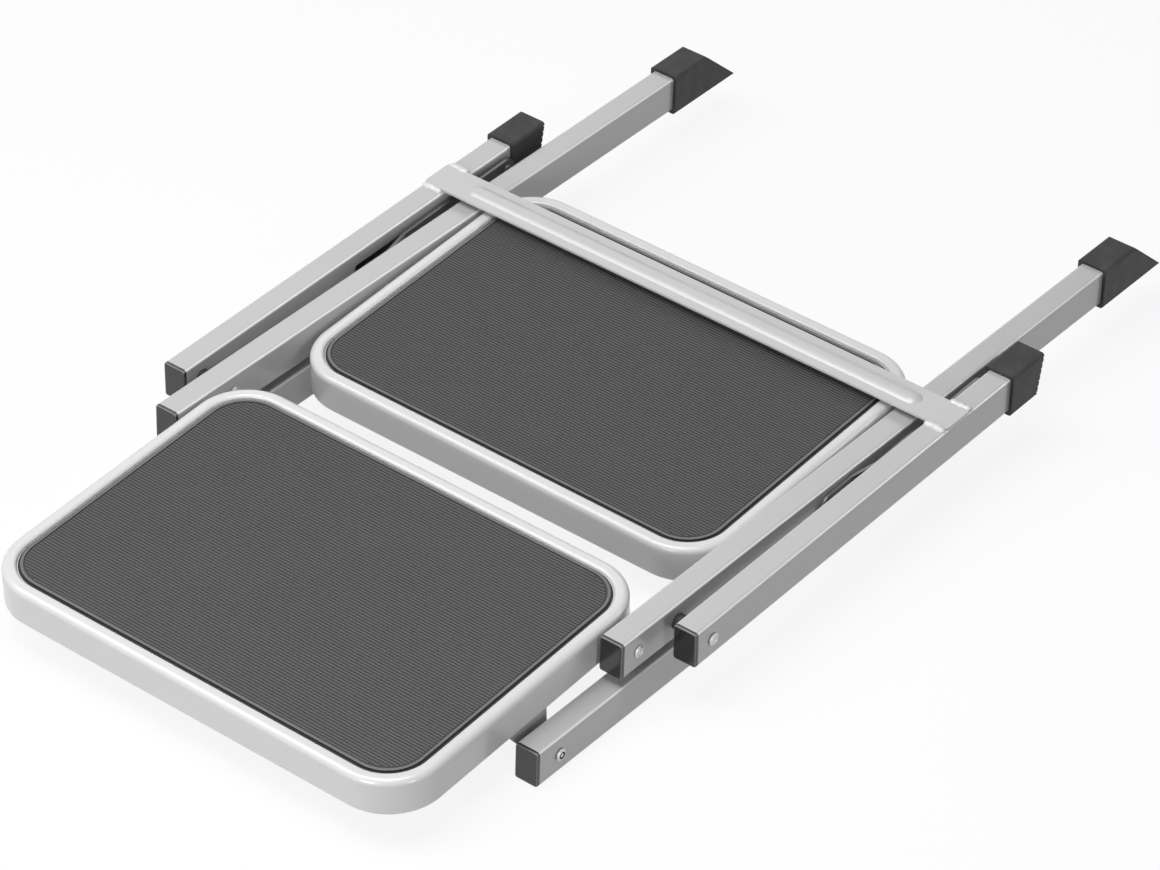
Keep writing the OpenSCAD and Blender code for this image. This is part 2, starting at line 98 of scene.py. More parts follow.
def add_node(tree, kind, settings=None, links=None):
    """A node of that kind. Settings name its properties or its sockets, links its sockets."""
    made = tree.nodes.new(kind)
    for name, value in (settings or {}).items():
        if isinstance(name, str) and hasattr(made, name):
            setattr(made, name, value)
        else:
            made.inputs[name].default_value = value
    for name, source in (links or {}).items():
        tree.links.new(source, made.inputs[name])
    return made


def new_surface(name):
    """An empty material with its output, its shader and Object coordinates."""
    material = bpy.data.materials.new(name)
    material.use_nodes = True
    tree = material.node_tree
    tree.nodes.clear()
    output = add_node(tree, "ShaderNodeOutputMaterial")
    shader = add_node(tree, "ShaderNodeBsdfPrincipled")
    tree.links.new(shader.outputs["BSDF"], output.inputs["Surface"])
    place = add_node(tree, "ShaderNodeTexCoord").outputs["Object"]
    return material, tree, shader, place


def per_mm(size_mm):
    """The scale of a noise whose features are about that many millimetres across."""
    return 1.0 / (size_mm * MM)


print("mid grey in linear light:", round(linear("#808080")[0], 3))

# %% [markdown]
# The rounded corners of the tubes and plugs are painted paler, a painted highlight
# that stands for the fine bright line the light draws along their edges. The faces of
# both are nearly square to the axes. A surface whose normal has no large share along
# any axis is therefore a rounded corner, and that makes a mask. It reads the normal
# in the object's own space, so it stays right in every pose.

# %% A mask of the rounded corners
FLAT_SHARE = 0.96
ROUND_SHARE = 0.80


def corner_mask(tree):
    """0 on the flat faces, and 1 on the rounded corners between them."""
    normal = add_node(tree, "ShaderNodeTexCoord").outputs["Normal"]
    sizes = add_node(tree, "ShaderNodeVectorMath", {"operation": "ABSOLUTE"}, {0: normal})
    parts = add_node(tree, "ShaderNodeSeparateXYZ", {}, {0: sizes.outputs[0]})
    larger = add_node(tree, "ShaderNodeMath", {"operation": "MAXIMUM"},
                      {0: parts.outputs["X"], 1: parts.outputs["Y"]})
    largest = add_node(tree, "ShaderNodeMath", {"operation": "MAXIMUM"},
                       {0: larger.outputs[0], 1: parts.outputs["Z"]})
    mask = add_node(tree, "ShaderNodeMapRange", {"From Min": FLAT_SHARE, "From Max": ROUND_SHARE},
                    {"Value": largest.outputs[0]})
    return mask.outputs["Result"]


def paint_corner_highlight(tree, shader, tint, colour):
    """Mixes a paler colour over the tint where the piece is rounded: a painted highlight."""
    wear_and_highlight = add_node(tree, "ShaderNodeMix", {"data_type": "RGBA", 7: linear(colour)},
                    {0: corner_mask(tree), 6: tint.outputs[2]})
    tree.links.new(wear_and_highlight.outputs[2], shader.inputs["Base Color"])


print("a corner starts", round(math.degrees(math.acos(FLAT_SHARE))), "degrees off a flat face")

# %% [markdown]
# **Powder-coated steel.** The tubes, steps, brackets and crossbar are mild steel
# under a silver-grey powder coat. The powder melts and flows in an oven, which
# leaves a satin skin with a faint orange peel, a ripple of a millimetre or two. It
# is a paint and not bare metal, so it isn't metallic in the shader. The coat pulls
# thin over cut edges, so a Bevel node rounds them a little for the light. The same
# function makes the four tones of it: tubes, strip, steps and weld beads.

# %% Powder-coated steel, its sizes in millimetres
COAT_CLOUD = 45
COAT_SMEAR = 60
ORANGE_PEEL = 2.2
PEEL_HEIGHT = 0.2
COAT_EDGE = 0.5


def powder_coated_steel(name, colour, dull, corner=None):
    material, tree, shader, place = new_surface(name)
    cloud = add_node(tree, "ShaderNodeTexNoise", {"Scale": per_mm(COAT_CLOUD), "Detail": 3.0},
                     {"Vector": place})
    tint = add_node(tree, "ShaderNodeMix", {"data_type": "RGBA", 6: linear(colour), 7: linear(dull)},
                    {0: cloud.outputs["Fac"]})
    tree.links.new(tint.outputs[2], shader.inputs["Base Color"])
    if corner:
        paint_corner_highlight(tree, shader, tint, corner)
    smear = add_node(tree, "ShaderNodeTexNoise", {"Scale": per_mm(COAT_SMEAR), "Detail": 1.0},
                     {"Vector": place})
    rough = add_node(tree, "ShaderNodeMapRange", {"To Min": 0.30, "To Max": 0.38},
                     {"Value": smear.outputs["Fac"]})
    tree.links.new(rough.outputs["Result"], shader.inputs["Roughness"])
    peel = add_node(tree, "ShaderNodeTexNoise", {"Scale": per_mm(ORANGE_PEEL), "Detail": 1.0},
                    {"Vector": place})
    edge = add_node(tree, "ShaderNodeBevel", {"samples": 6, "Radius": COAT_EDGE * MM})
    bump = add_node(tree, "ShaderNodeBump", {"Strength": 0.05, "Distance": PEEL_HEIGHT * MM},
                    {"Height": peel.outputs["Fac"], "Normal": edge.outputs["Normal"]})
    tree.links.new(bump.outputs["Normal"], shader.inputs["Normal"])
    shader.inputs["IOR"].default_value = 1.5
    shader.inputs["Coat Weight"].default_value = 0.6
    shader.inputs["Coat Roughness"].default_value = 0.12
    return material


# The tubes' pale corner colour is a painted highlight along their rounded edges.
tube_coat = powder_coated_steel("powder_coated_steel_tube", "#BDBDBD", "#B7B7B7", corner="#EEEEEE")
strip_coat = powder_coated_steel("powder_coated_steel_strip", "#C5C5C5", "#BFBFBF")
step_coat = powder_coated_steel("powder_coated_steel_step", "#DADADA", "#D5D5D5")
# The beads' lighter tone is a painted highlight that makes the welds stand out.
bead_coat = powder_coated_steel("powder_coated_steel_bead", "#DDDDDD", "#CFCFCF")
print("coats:", [coat.name for coat in (tube_coat, strip_coat, step_coat, bead_coat)])

# %% [markdown]
# ** Moulded polyethylene.** The plugs in the tubes' ends are black polyethylene with
# a smooth, slightly waxy face, and the plastic's flow leaves it a little uneven. The
# flange's rounded rim is painted paler through the mask of the rounded corners, a
# painted highlight that keeps the rim from being lost against the dark face.

# %% Moulded polyethylene, its sizes in millimetres
PLUG_GRAIN = 0.9
PLUG_FLOW = 9
PLUG_GRAIN_HEIGHT = 0.15


def moulded_polyethylene(name, colour, uneven, corner):
    material, tree, shader, place = new_surface(name)
    grain = add_node(tree, "ShaderNodeTexNoise", {"Scale": per_mm(PLUG_GRAIN), "Detail": 2.0},
                     {"Vector": place})
    flow = add_node(tree, "ShaderNodeTexNoise", {"Scale": per_mm(PLUG_FLOW), "Detail": 3.0},
                    {"Vector": place})
    tint = add_node(tree, "ShaderNodeMix", {"data_type": "RGBA", 6: linear(colour), 7: linear(uneven)},
                    {0: flow.outputs["Fac"]})
    paint_corner_highlight(tree, shader, tint, corner)
    rough = add_node(tree, "ShaderNodeMapRange", {"To Min": 0.13, "To Max": 0.20},
                     {"Value": flow.outputs["Fac"]})
    tree.links.new(rough.outputs["Result"], shader.inputs["Roughness"])
    bump = add_node(tree, "ShaderNodeBump", {"Strength": 0.15, "Distance": PLUG_GRAIN_HEIGHT * MM},
                    {"Height": grain.outputs["Fac"]})
    tree.links.new(bump.outputs["Normal"], shader.inputs["Normal"])
    shader.inputs["Specular IOR Level"].default_value = 0.6
    return material


# The plugs' pale rim colour is a painted highlight on the flange's rounded rim.
cap_plastic = moulded_polyethylene("moulded_polyethylene", "#1D1D1E", "#242425", "#666667")
print("plugs:", cap_plastic.name)

# %% [markdown]
# **Moulded rubber.** The feet are soft black rubber boots pushed over the tubes'
# ends. Rubber is matt, and picks up a grey bloom in patches where it is handled.

# %% Moulded rubber of the feet, its sizes in millimetres
FOOT_BLOOM = 16
FOOT_GRAIN = 0.8
FOOT_GRAIN_HEIGHT = 0.2
FOOT_EDGE = 0.8


def moulded_rubber(name, colour, bloomed):
    material, tree, shader, place = new_surface(name)
    bloom = add_node(tree, "ShaderNodeTexNoise",
                     {"Scale": per_mm(FOOT_BLOOM), "Detail": 5.0, "Roughness": 0.6}, {"Vector": place})
    patch = add_node(tree, "ShaderNodeMapRange", {"From Min": 0.45, "From Max": 0.75},
                     {"Value": bloom.outputs["Fac"]})
    tint = add_node(tree, "ShaderNodeMix", {"data_type": "RGBA", 6: linear(colour), 7: linear(bloomed)},
                    {0: patch.outputs["Result"]})
    tree.links.new(tint.outputs[2], shader.inputs["Base Color"])
    grain = add_node(tree, "ShaderNodeTexNoise", {"Scale": per_mm(FOOT_GRAIN), "Detail": 3.0},
                     {"Vector": place})
    edge = add_node(tree, "ShaderNodeBevel", {"samples": 6, "Radius": FOOT_EDGE * MM})
    bump = add_node(tree, "ShaderNodeBump", {"Strength": 0.25, "Distance": FOOT_GRAIN_HEIGHT * MM},
                    {"Height": grain.outputs["Fac"], "Normal": edge.outputs["Normal"]})
    tree.links.new(bump.outputs["Normal"], shader.inputs["Normal"])
    shader.inputs["Roughness"].default_value = 0.55
    shader.inputs["Specular IOR Level"].default_value = 0.35
    return material


foot_rubber = moulded_rubber("moulded_rubber_foot", "#262627", "#3A3A3B")
print("feet:", foot_rubber.name)

# %% [markdown]
# ** Ribbed rubber sheet.** The mats are extruded rubber, a little greasy on the
# crests. The ribs themselves are modelled, so this surface only needs its grain and
# its bloom. Four tones of it paint the light and shade on that relief: the darkest is
# a painted shade on the flanks of the sheet, the grooves take a painted shade too,
# the crests of the ribs are painted lighter as if lit, and the smooth border lighter
# still, a painted highlight.

# %% Ribbed rubber of the mats, its sizes in millimetres
MAT_BLOOM = 40
MAT_GRAIN = 0.7
MAT_GRAIN_HEIGHT = 0.1


def ribbed_rubber(name, colour, wear_and_highlight, roughness):
    material, tree, shader, place = new_surface(name)
    bloom = add_node(tree, "ShaderNodeTexNoise",
                     {"Scale": per_mm(MAT_BLOOM), "Detail": 6.0, "Roughness": 0.65}, {"Vector": place})
    tint = add_node(tree, "ShaderNodeMix", {"data_type": "RGBA", 6: linear(colour), 7: linear(wear_and_highlight)},
                    {0: bloom.outputs["Fac"]})
    tree.links.new(tint.outputs[2], shader.inputs["Base Color"])
    grain = add_node(tree, "ShaderNodeTexNoise", {"Scale": per_mm(MAT_GRAIN), "Detail": 2.0},
                     {"Vector": place})
    bump = add_node(tree, "ShaderNodeBump", {"Strength": 0.2, "Distance": MAT_GRAIN_HEIGHT * MM},
                    {"Height": grain.outputs["Fac"]})
    tree.links.new(bump.outputs["Normal"], shader.inputs["Normal"])
    shader.inputs["Roughness"].default_value = roughness
    return material


# These four tones are painted light and shade: shade on flanks and grooves, light on crests and border.
mat_flank_shade = ribbed_rubber("ribbed_rubber_flank_shade", "#161617", "#1C1C1D", 0.70)
mat_groove_shade = ribbed_rubber("ribbed_rubber_groove_shade", "#2C2C2D", "#343435", 0.60)
mat_crest_lit = ribbed_rubber("ribbed_rubber_crest_lit", "#434344", "#4B4B4C", 0.42)
mat_border_lit = ribbed_rubber("ribbed_rubber_border_lit", "#606061", "#69696A", 0.34)
MAT_TONES = [mat_flank_shade, mat_groove_shade, mat_crest_lit, mat_border_lit]
FLANK, GROOVE, CREST, EDGE = range(len(MAT_TONES))
print("mats:", [tone.name for tone in MAT_TONES])

# %% [markdown]
# ** Zinc-plated steel.** Rivets and stays are plated, not painted: a bright metal
# with a soft sheen and faint clouds. The deep ring of a rivet is painted dark, a
# painted shade in the hollow, and the stays take a darker plate that also paints the
# shade of the gaps they lie in. **Nylon** makes the black spacer rings that keep the
# tubes apart. It is smooth and a little waxy.

# %% Zinc plate and nylon, their sizes in millimetres
PLATE_CLOUD = 3
NYLON_CLOUD = 4


def zinc_plated_steel(name, colour, cloudy):
    material, tree, shader, place = new_surface(name)
    cloud = add_node(tree, "ShaderNodeTexNoise", {"Scale": per_mm(PLATE_CLOUD), "Detail": 4.0},
                     {"Vector": place})
    tint = add_node(tree, "ShaderNodeMix", {"data_type": "RGBA", 6: linear(colour), 7: linear(cloudy)},
                    {0: cloud.outputs["Fac"]})
    tree.links.new(tint.outputs[2], shader.inputs["Base Color"])
    rough = add_node(tree, "ShaderNodeMapRange", {"To Min": 0.34, "To Max": 0.48},
                     {"Value": cloud.outputs["Fac"]})
    tree.links.new(rough.outputs["Result"], shader.inputs["Roughness"])
    shader.inputs["Metallic"].default_value = 1.0
    return material


def moulded_nylon(name, colour, cloudy):
    material, tree, shader, place = new_surface(name)
    cloud = add_node(tree, "ShaderNodeTexNoise", {"Scale": per_mm(NYLON_CLOUD), "Detail": 2.0},
                     {"Vector": place})
    tint = add_node(tree, "ShaderNodeMix", {"data_type": "RGBA", 6: linear(colour), 7: linear(cloudy)},
                    {0: cloud.outputs["Fac"]})
    tree.links.new(tint.outputs[2], shader.inputs["Base Color"])
    shader.inputs["Roughness"].default_value = 0.6
    return material


zinc_plate = zinc_plated_steel("zinc_plated_steel_rivet", "#C6C6C6", "#ADADAE")
# This dark plate is a painted shade for the deep ring of the link rivets.
ring_painted_shade = zinc_plated_steel("zinc_plated_steel_ring_shade", "#343435", "#262627")
# The stays' darker plate is partly their own tone and partly a painted shade for the gaps they lie in.
stay_plate = zinc_plated_steel("zinc_plated_steel_stay", "#7C7C7D", "#6C6C6D")
spacer_nylon = moulded_nylon("moulded_nylon_spacer", "#202021", "#2A2A2B")
print("plate and nylon:", [m.name for m in (zinc_plate, ring_painted_shade, stay_plate, spacer_nylon)])

# %% [markdown]
# Every CAD node keeps its shape and takes the finish that its name tells. The CAD's
# mats, weld beads and rivets get one too, though fuller pieces stand for them below.

# %% Dress the CAD nodes
def finish_of(node):
    words = node.split("_")
    if "tray" in words:
        return step_coat
    if "crossbar" in words:
        return strip_coat
    if "mat" in words:
        return mat_groove_shade
    if "cap" in words:
        return cap_plastic
    if "foot" in words:
        return foot_rubber
    if "rivets" in words:
        return zinc_plate
    if "stay" in words:
        return stay_plate
    if "spacers" in words:
        return spacer_nylon
    return tube_coat


for node, thing in frame["nodes"].items():
    for holder in thing.material_slots:
        holder.material = finish_of(node)
    if not thing.material_slots:
        thing.data.materials.append(finish_of(node))
print("dressed", len(frame["nodes"]), "CAD nodes")

# %% [markdown]
# ## The ribbed mats
#
# Each step carries a rubber mat about 2 mm thick. It has a smooth raised border and
# fine ribs that run across the stool, so that a wet shoe doesn't slip forwards. The
# ribs could be a bump in the material, but they catch the light as real ridges, so
# they are modelled. The mat is drawn flat, with its middle at the origin, and is
# then tilted and carried to its step's pivot, as the CAD does.

# %% Sizes of a mat, in millimetres
STEP_TILT_DEGREES = 3.1
STEP_DEPTH = 279.5
STEP_CORNER = 43.5
PIVOT_INSET = 48.2
PIVOT_DROP = 16.0
RECESS = 3.0
MAT_INSET = 11.7
MAT_THICKNESS = 2.0
GROUND = 1.25
SHELF = 1.5
SHELF_HEIGHT = 0.6
BORDER = 2.4
BORDER_EDGE = 0.35
BORDER_TONE_DEPTH = 0.2
CHANNEL = 1.0
RIB_PITCH = 2.6
RIB_WIDTH = 1.4
RIB_TOP = 1.85
RIB_EDGE = 0.45
RIB_SINK = 0.2
CORNER_STEPS = 14
EDGE_STEPS = 2
SAME_HEIGHT = 1e-4
NEAR_GROUND = 0.01
NEAR_RIB_TOP = 0.01

mat_low, mat_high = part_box("top_step_mat")
MAT_WIDTH = (mat_high[0] - mat_low[0]) / MM
MAT_DEPTH = STEP_DEPTH - 2 * MAT_INSET
MAT_CORNER = STEP_CORNER - MAT_INSET
print("mat in mm:", round(MAT_WIDTH, 1), "x", round(MAT_DEPTH, 1))

# %% [markdown]
# Every new piece ends in the same way.

# %% Helpers for new pieces
SHARP_DEGREES = 35


def joint_place(name):
    return Vector(next(j["pos_m"] for j in frame["joints"] if j["name"] == name))


def new_piece(name, mesh, body, materials):
    """Turns a bmesh into an object that rides on a body and takes a slot's finish."""
    data = bpy.data.meshes.new(name)
    mesh.to_mesh(data)
    mesh.free()
    piece = bpy.data.objects.new(name, data)
    bpy.context.scene.collection.objects.link(piece)
    for material in materials:
        data.materials.append(material)
    data.shade_smooth()
    data.set_sharp_from_angle(angle=math.radians(SHARP_DEGREES))
    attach(piece, body)
    print(name, "faces:", len(data.polygons))
    return piece


def verts_of(made):
    """The vertices among what an operator made."""
    return [g for g in made["geom"] if isinstance(g, bmesh.types.BMVert)]


# %% [markdown]
# The slab starts as one flat quad whose corners are bevelled round. It is raised to
# a low shelf, inset, and raised again to its full thickness, so that a step runs
# round it. The walls and the shelf take the darkest tone, a painted shade that draws
# a fine dark line round the mat. The top is inset by the border's width, and the
# field inside is sunk to the ground that the ribs stand on.

# %% The mat's slab and border
WALL_TILT = 0.5


def raise_faces(mesh, faces, height, keep=False):
    """Extrudes a flat region up, or down for a height below zero, and returns its new top."""
    raised = bmesh.ops.extrude_face_region(mesh, geom=faces)
    top = [g for g in raised["geom"] if isinstance(g, bmesh.types.BMFace)]
    verts = verts_of(raised)
    if not keep:
        bmesh.ops.delete(mesh, geom=faces, context="FACES")
    bmesh.ops.translate(mesh, vec=(0, 0, height), verts=verts)
    return top


# The flank and groove tones are painted shade; the border's top takes a painted highlight.
def tone_of(face):
    """The border's top, the ground between the ribs, or a flank, by the face's height."""
    height = face.calc_center_median().z
    if height > MAT_THICKNESS - BORDER_TONE_DEPTH:
        return EDGE
    return GROOVE if abs(height - GROUND) < NEAR_GROUND else FLANK


def mat_slab(mesh):
    made = bmesh.ops.create_grid(mesh, x_segments=1, y_segments=1, size=0.5)
    bmesh.ops.scale(mesh, vec=(MAT_WIDTH, MAT_DEPTH, 1), verts=made["verts"])
    bmesh.ops.bevel(mesh, geom=made["verts"], offset=MAT_CORNER, offset_type="OFFSET",
                    segments=CORNER_STEPS, profile=0.5, affect="VERTICES", material=-1)
    top = raise_faces(mesh, mesh.faces[:], SHELF_HEIGHT, keep=True)
    bmesh.ops.recalc_face_normals(mesh, faces=mesh.faces[:])
    bmesh.ops.inset_region(mesh, faces=top, thickness=SHELF, use_even_offset=True)
    top = raise_faces(mesh, top, MAT_THICKNESS - SHELF_HEIGHT)
    bmesh.ops.inset_region(mesh, faces=top, thickness=BORDER, use_even_offset=True)
    raise_faces(mesh, top, GROUND - MAT_THICKNESS)
    crest = [e for e in mesh.edges
             if all(abs(v.co.z - MAT_THICKNESS) < SAME_HEIGHT for v in e.verts)
             and any(abs(f.normal.z) < WALL_TILT for f in e.link_faces)]
    bmesh.ops.bevel(mesh, geom=crest, offset=BORDER_EDGE, offset_type="OFFSET", segments=EDGE_STEPS,
                    profile=0.5, affect="EDGES", material=-1)
    for face in mesh.faces:
        face.material_index = tone_of(face)


# %% [markdown]
# One rib is a long cube with its two top edges rounded. It is copied at each step of
# the pitch, and each copy is stretched to reach just under the border, which makes
# the ribs shorter where the mat's corners round off.

# %% The mat's ribs
CREST_TILT = 0.3


CREST_TILT = 0.3
ALONG_RIB = 0.5


def rib_half_length(y):
    """How far a rib at that place reaches from the middle, inside the border and its channel."""
    edge = SHELF + BORDER + CHANNEL
    half_x = MAT_WIDTH / 2 - edge
    half_y = MAT_DEPTH / 2 - edge
    radius = MAT_CORNER - edge
    past = abs(y) - (half_y - radius)
    if past <= 0:
        return half_x
    return half_x - radius + math.sqrt(max(radius * radius - past * past, 0.0))


def first_rib(mesh):
    """A rib one millimetre long, from a little under the ground to its rounded crest."""
    rib = bmesh.ops.create_cube(mesh, size=1.0)
    height = RIB_TOP - GROUND + RIB_SINK
    bmesh.ops.scale(mesh, vec=(1, RIB_WIDTH, height), verts=rib["verts"])
    bmesh.ops.translate(mesh, vec=(0, 0, RIB_TOP - height / 2), verts=rib["verts"])
    crest = [e for e in mesh.edges if all(v.co.z > RIB_TOP - NEAR_RIB_TOP for v in e.verts)
             and abs(e.verts[0].co.x - e.verts[1].co.x) > ALONG_RIB]
    bmesh.ops.bevel(mesh, geom=crest, offset=RIB_EDGE, offset_type="OFFSET", segments=EDGE_STEPS,
                    profile=0.5, affect="EDGES", material=-1)
    # The crests take the lit tone, a painted light, and the rib's sides the groove's tone, a painted
    # shade.
    for face in mesh.faces:
        face.material_index = CREST if face.normal.z > CREST_TILT else GROOVE


def mat_ribs(mesh):
    first_rib(mesh)
    first_verts = mesh.verts[:]
    first = first_verts + mesh.edges[:] + mesh.faces[:]
    count = int((MAT_DEPTH / 2 - SHELF - BORDER - RIB_WIDTH) / RIB_PITCH)
    for i in range(-count, count + 1):
        y = i * RIB_PITCH
        reach = rib_half_length(abs(y) + RIB_WIDTH / 2)
        copy = verts_of(bmesh.ops.duplicate(mesh, geom=first))
        bmesh.ops.scale(mesh, vec=(2 * reach, 1, 1), verts=copy)
        bmesh.ops.translate(mesh, vec=(0, y, 0), verts=copy)
    bmesh.ops.delete(mesh, geom=first_verts, context="VERTS")
    return 2 * count + 1


# %% [markdown]
# The slab and the ribs are joined in one mesh. The mat's middle lies a known way
# from the step's pivot, so three moves bring it home: to its place beside the pivot,
# from millimetres to metres, and with the step's tilt to the pivot itself.

# %% Make both mats and set them on their steps
def make_mat(name, node, joint, body):
    slab = bmesh.new()
    mat_slab(slab)
    ribs = bmesh.new()
    count = mat_ribs(ribs)
    rib_data = bpy.data.meshes.new("ribs")
    ribs.to_mesh(rib_data)
    ribs.free()
    slab.from_mesh(rib_data)
    bpy.data.meshes.remove(rib_data)
    middle = Matrix.Translation((0, PIVOT_INSET - STEP_DEPTH / 2, PIVOT_DROP - RECESS))
    tilt = Matrix.Rotation(math.radians(STEP_TILT_DEGREES), 4, "X")
    pose = Matrix.Translation(joint_place(joint)) @ tilt @ Matrix.Scale(MM, 4) @ middle
    bmesh.ops.transform(slab, matrix=pose, verts=slab.verts)
    piece = new_piece(name, slab, body, MAT_TONES)
    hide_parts(node)
    print(name, "ribs:", count)


make_mat("top_mat_ribbed", "top_step_mat", "top_step_hinge", "top_step")
make_mat("lower_mat_ribbed", "lower_step_mat", "lower_step_hinge", "lower_step")

# %% [markdown]
# ## The weld beads
#
# The strip across the rear legs is held by four short welds, one along each edge over
# each tube. A hand-laid bead is a row of overlapping puddles, and the coat pulled
# smooth over them. Each bead is a row of flattened balls of slightly different sizes,
# and a Remesh modifier melts them into one skin.

# %% Sizes of the welds, in millimetres
WELD_LENGTH = 16.0
WELD_WIDTH = 3.6
WELD_HEIGHT = 3.4
WELD_LIFT = 0.4
WELD_INSET = 0.7
WELD_WANDER = 0.5
WELD_PUDDLES = 6
PUDDLE_ROW_SHARE = 0.72
PUDDLE_SMALL_SHARE = 0.72
MELT_GRAIN = 0.4
WELD_SEED = 7
BALL_SEGMENTS = 20
BALL_RINGS = 12
TUBE_HEIGHT = 30.0
REAR_TILT_DEGREES = 1.2

rear_low, rear_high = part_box("rear_leg_right")
weld_low, weld_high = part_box("crossbar_welds")
rear_pivot = joint_place("rear_frame_hinge")
LEG_MIDDLE = (rear_low[0] + rear_high[0]) / 2 / MM
WELD_NEAR = weld_low[1] / MM - rear_pivot.y / MM + WELD_INSET
WELD_FAR = weld_high[1] / MM - rear_pivot.y / MM - WELD_INSET
print("weld beads at x = +-", round(LEG_MIDDLE, 1), "mm, and at", round(WELD_NEAR, 1), "and",
      round(WELD_FAR, 1), "mm from the rear pivot")

# %% Make the weld beads
def weld_bead(mesh, x, y, rng):
    for i in range(WELD_PUDDLES):
        step = WELD_LENGTH * (i / (WELD_PUDDLES - 1) - 0.5) * PUDDLE_ROW_SHARE
        size = rng.uniform(PUDDLE_SMALL_SHARE, 1.0)
        ball = bmesh.ops.create_uvsphere(mesh, u_segments=BALL_SEGMENTS, v_segments=BALL_RINGS,
                                         radius=1.0)
        shape = Vector((WELD_WIDTH, WELD_WIDTH * size, WELD_HEIGHT * size))
        bmesh.ops.scale(mesh, vec=shape, verts=ball["verts"])
        place = Vector((x + step, y + rng.uniform(-WELD_WANDER, WELD_WANDER), WELD_LIFT))
        bmesh.ops.translate(mesh, vec=place, verts=ball["verts"])


def make_welds():
    rng = random.Random(WELD_SEED)
    mesh = bmesh.new()
    for side in (-1, 1):
        for y in (WELD_NEAR, WELD_FAR):
            weld_bead(mesh, side * LEG_MIDDLE, y, rng)
    bmesh.ops.translate(mesh, vec=(0, 0, TUBE_HEIGHT / 2), verts=mesh.verts)
    tilt = Matrix.Rotation(math.radians(REAR_TILT_DEGREES), 4, "X")
    pose = Matrix.Translation(rear_pivot) @ tilt @ Matrix.Scale(MM, 4)
    bmesh.ops.transform(mesh, matrix=pose, verts=mesh.verts)
    piece = new_piece("weld_beads", mesh, "rear_frame", [bead_coat])
    skin = piece.modifiers.new("melted_skin", "REMESH")
    skin.mode = "VOXEL"
    skin.voxel_size = MELT_GRAIN * MM
    skin.use_smooth_shade = True
    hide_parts("crossbar_welds")


make_welds()

# %% [markdown]
# ## The rivets
#
# Every pivot is a steel rivet. Its heads are formed by a spinning tool that leaves a
# ring round a raised middle, and the edge of the head stands a little clear of the
# paint, which draws a fine dark line round it. All of that is one turned shape, so
# half its outline is spun round the rivet's own axis. The link rivets are pressed
# harder, and their ring is deeper and painted dark, a painted shade in the hollow.

# %% Sizes of the rivets, in millimetres
SHANK_R = 3.0
HEAD_R = 4.9
HEAD_FOOT_R = 4.3
HEAD_FOOT = 0.25
HEAD_WALL = 0.5
HEAD_HEIGHT = 1.8
CROWN_R = 3.4
CROWN_RUN = 0.5
CROWN_DROP = 0.25
RING_OUT = 2.9
RING_IN = 1.5
RING_SLOPE = 0.4
MIDDLE_EDGE_DROP = 0.2
MIDDLE_DROP = 0.1
PLAIN_RING = 0.3
DEEP_RING = 0.9
SPIN_STEPS = 40
MERGE_DISTANCE = 0.001

# %% [markdown]
# The outline runs from the inner head's middle, down over its rim, along the shank and
# up over the outer head to its middle. Spun once, it closes heads and shank in one
# skin, where three separate shapes would have to be joined.

# %% Turn a rivet
def head_outline(face, side, ring_depth):
    """Half the outline of a head on the face at x = face, from its foot to its middle."""
    ring = HEAD_HEIGHT - ring_depth
    heights = [(0.0, HEAD_FOOT_R), (HEAD_FOOT, HEAD_FOOT_R),
               (HEAD_FOOT, HEAD_R), (HEAD_FOOT + HEAD_WALL, HEAD_R),
               (HEAD_HEIGHT - CROWN_DROP, CROWN_R + CROWN_RUN), (HEAD_HEIGHT, CROWN_R),
               (HEAD_HEIGHT, RING_OUT), (ring, RING_OUT - RING_SLOPE), (ring, RING_IN + RING_SLOPE),
               (HEAD_HEIGHT - MIDDLE_EDGE_DROP, RING_IN), (HEAD_HEIGHT - MIDDLE_DROP, 0.0)]
    return [(face + side * height, radius) for height, radius in heights]


def turned_rivet(mesh, inner, outer, y, z, ring_depth):
    near = head_outline(inner, -1, ring_depth)
    far = head_outline(outer, 1, ring_depth)
    outline = near[::-1] + [(inner, SHANK_R), (outer, SHANK_R)] + far
    verts = [mesh.verts.new((x, y, z + radius)) for x, radius in outline]
    edges = [mesh.edges.new(pair) for pair in zip(verts, verts[1:])]
    bmesh.ops.spin(mesh, geom=verts + edges, cent=(0, y, z), axis=(1, 0, 0), angle=math.tau,
                   steps=SPIN_STEPS, use_merge=True)


def darken_rings(mesh, y, z):
    """Gives the faces between the crown and the raised middle the second material, a painted shade."""
    for face in mesh.faces:
        middle = face.calc_center_median()
        if RING_IN < math.hypot(middle.y - y, middle.z - z) < RING_OUT:
            face.material_index = 1


def middle_of(node):
    low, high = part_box(node)
    return (Vector(low) + Vector(high)) / 2


def make_rivets(node, body, inner, outer, ring_depth):
    """One rivet on each side of the stool, its heads on the faces at inner and outer."""
    middle = middle_of(node)
    y = middle.y / MM
    z = middle.z / MM
    mesh = bmesh.new()
    turned_rivet(mesh, inner, outer, y, z, ring_depth)
    half = mesh.verts[:] + mesh.edges[:] + mesh.faces[:]
    other = verts_of(bmesh.ops.duplicate(mesh, geom=half))
    bmesh.ops.scale(mesh, vec=(-1, 1, 1), verts=other)
    bmesh.ops.remove_doubles(mesh, verts=mesh.verts[:], dist=MERGE_DISTANCE)
    bmesh.ops.recalc_face_normals(mesh, faces=mesh.faces[:])
    # A deep ring takes the dark plate, a painted shade in the hollow.
    if ring_depth > PLAIN_RING:
        darken_rings(mesh, y, z)
    bmesh.ops.scale(mesh, vec=(MM, MM, MM), verts=mesh.verts[:])
    piece = new_piece(node + "_turned", mesh, body, [zinc_plate, ring_painted_shade])
    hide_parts(node)


